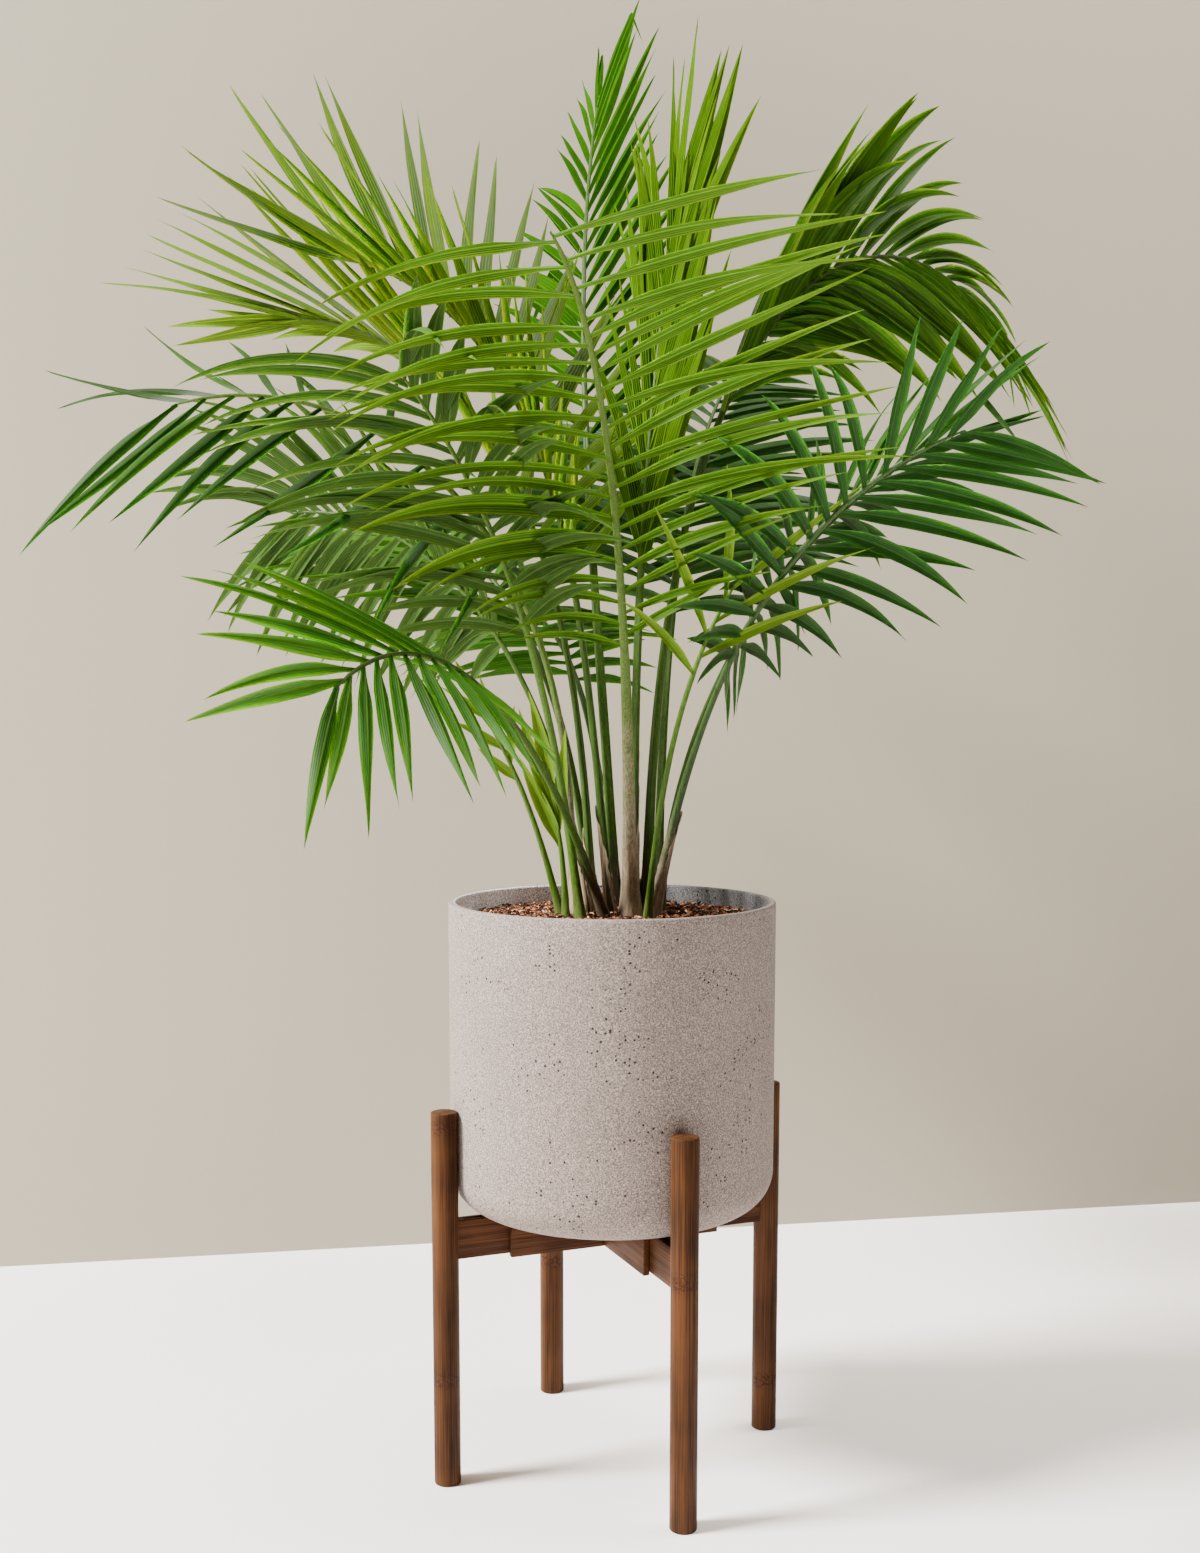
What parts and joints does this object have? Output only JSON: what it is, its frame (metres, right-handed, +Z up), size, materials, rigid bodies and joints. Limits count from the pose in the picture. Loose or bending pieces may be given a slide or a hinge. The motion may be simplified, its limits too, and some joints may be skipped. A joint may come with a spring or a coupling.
{
  "type": "potted majesty palm",
  "caption": "Young clumping feather palm in a round concrete pot, carried by a bamboo plant stand of round legs and crossing beams.",
  "frame": {"origin": "on the floor under the middle of the whole plant's box, with the stand's feet on z = 0", "axes": "+Z up; the front of the plant, as pictured, looks along -Y, and +X is to its right"},
  "size_m": [1.2878, 1.3742, 1.7539],
  "materials": {
    "concrete": "matte cast concrete with a fine speckle and small air holes",
    "soil": "loose potting mix with bark chips",
    "bamboo": "walnut-stained bamboo, satin",
    "stalk": "smooth green leaf stalk, brown-grey at its foot",
    "leaf": "satin green leaflet"
  },
  "bodies": {
    "root": {"pot": "concrete", "soil": "soil", "leg_left": "bamboo", "board_left": "bamboo", "leg_front": "bamboo", "board_front": "bamboo", "leg_right": "bamboo", "board_right": "bamboo", "leg_back": "bamboo", "board_back": "bamboo", "sleeve_long": "bamboo", "sleeve_cross": "bamboo", "stalk_front": "stalk", "frond_front": "leaf", "stalk_shoot_left": "stalk", "frond_shoot_left": "leaf", "stalk_shoot_right": "stalk", "frond_shoot_right": "leaf", "stalk_sprout": "stalk", "frond_sprout": "leaf", "stalk_left_front": "stalk", "frond_left_front": "leaf", "stalk_right": "stalk", "frond_right": "leaf", "stalk_right_high": "stalk", "frond_right_high": "leaf", "stalk_left_high": "stalk", "frond_left_high": "leaf", "stalk_spear": "stalk", "frond_spear": "leaf", "stalk_top": "stalk", "frond_top": "leaf", "stalk_left_low": "stalk", "frond_left_low": "leaf", "stalk_left_mid": "stalk", "frond_left_mid": "leaf", "stalk_left_lowest": "stalk", "frond_left_lowest": "leaf", "stalk_left_back": "stalk", "frond_left_back": "leaf", "stalk_right_back": "stalk", "frond_right_back": "leaf", "stalk_back": "stalk", "frond_back": "leaf", "stalk_back_left": "stalk", "frond_back_left": "leaf", "stalk_back_right": "stalk", "frond_back_right": "leaf", "stalk_back_low": "stalk", "frond_back_low": "leaf"}
  },
  "joints": []
}
